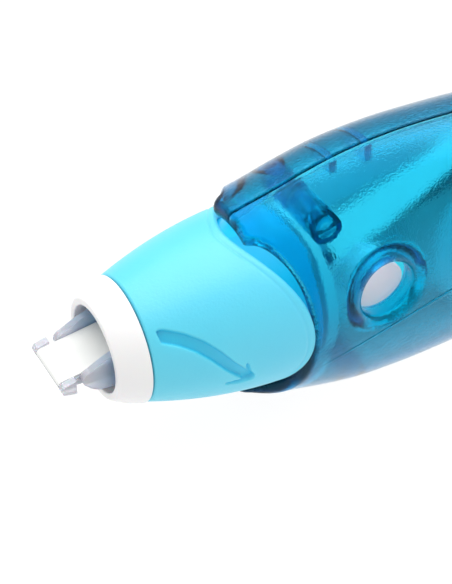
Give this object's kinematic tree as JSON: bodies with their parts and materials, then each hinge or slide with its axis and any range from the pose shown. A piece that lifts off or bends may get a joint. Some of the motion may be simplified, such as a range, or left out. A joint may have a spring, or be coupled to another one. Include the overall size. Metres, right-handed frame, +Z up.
{
  "type": "correction tape roller",
  "caption": "Pen-shaped correction tape roller with a flat tape tip, a twist grip that slides a cover over it, and a translucent two-part case round two geared reels.",
  "frame": {"origin": "middle of the bottom of the bounding box, below the pen axis, on the plane the belly stands on", "axes": "+X from the tip to the tail along the pen, +Z up from the belly's flat land, Y across the case's thickness, square to the seam"},
  "size_m": [0.116, 0.019, 0.027],
  "materials": {
    "case_blue": "translucent moulded plastic, spark-eroded outside",
    "ring_white": "satin",
    "inner_white": "moulded",
    "grip_soft": "soft matte elastomer",
    "core_cyan": "moulded",
    "tip_clear": "frosted clear moulded plastic",
    "tape_white": "correction film",
    "film_clear": "carrier film",
    "reel_white": "moulded",
    "gear_white": "acetal, moulded",
    "clutch_rubber": "silicone"
  },
  "bodies": {
    "case": {"near_shell": "case_blue", "far_shell": "case_blue", "cam_barrel": "inner_white", "chassis": "inner_white", "applicator_tip": "tip_clear", "tip_carrier": "tip_clear", "tape_run_out": "tape_white", "film_run_back": "film_clear"},
    "nose_cover": {"nose_ring": "ring_white", "slide_sleeve": "inner_white"},
    "twist_grip": {"grip_rubber": "grip_soft", "grip_core": "core_cyan"},
    "supply_reel": {"supply_core": "reel_white", "supply_flange": "film_clear", "tape_pack": "tape_white"},
    "supply_drive": {"supply_gear": "gear_white", "clutch_ring": "clutch_rubber"},
    "idler": {"idler_gear": "gear_white"},
    "takeup_reel": {"takeup_core": "reel_white", "takeup_flange": "film_clear", "used_film_pack": "film_clear", "takeup_gear": "gear_white"}
  },
  "joints": [
    {"name": "grip_twist", "type": "hinge", "parent": "nose_cover", "child": "twist_grip", "pos_m": [-0.042, 0, 0.0126], "axis": [-1, 0, 0], "range_deg": [0, 90]},
    {"name": "cover_slide", "type": "slide", "parent": "case", "child": "nose_cover", "axis": [-1, 0, 0], "range_m": [0, 0.0057]},
    {"name": "supply_turn", "type": "hinge", "parent": "case", "child": "supply_reel", "pos_m": [-0.005, 0, 0.0126], "axis": [0, -1, 0], "continuous": true},
    {"name": "supply_gear_turn", "type": "hinge", "parent": "case", "child": "supply_drive", "pos_m": [-0.005, 0, 0.0126], "axis": [0, -1, 0], "continuous": true},
    {"name": "idler_turn", "type": "hinge", "parent": "case", "child": "idler", "pos_m": [0.00886, 0, 0.0126], "axis": [0, -1, 0], "continuous": true},
    {"name": "takeup_turn", "type": "hinge", "parent": "case", "child": "takeup_reel", "pos_m": [0.01709, 0, 0.0126], "axis": [0, -1, 0], "continuous": true}
  ],
  "couplings": [
    {"joint": "cover_slide", "follows": "grip_twist", "m_per_rad": 0.0036},
    {"joint": "supply_gear_turn", "follows": "supply_turn", "ratio": 1},
    {"joint": "idler_turn", "follows": "supply_turn", "ratio": -2.1053},
    {"joint": "takeup_turn", "follows": "supply_turn", "ratio": 2.5}
  ]
}
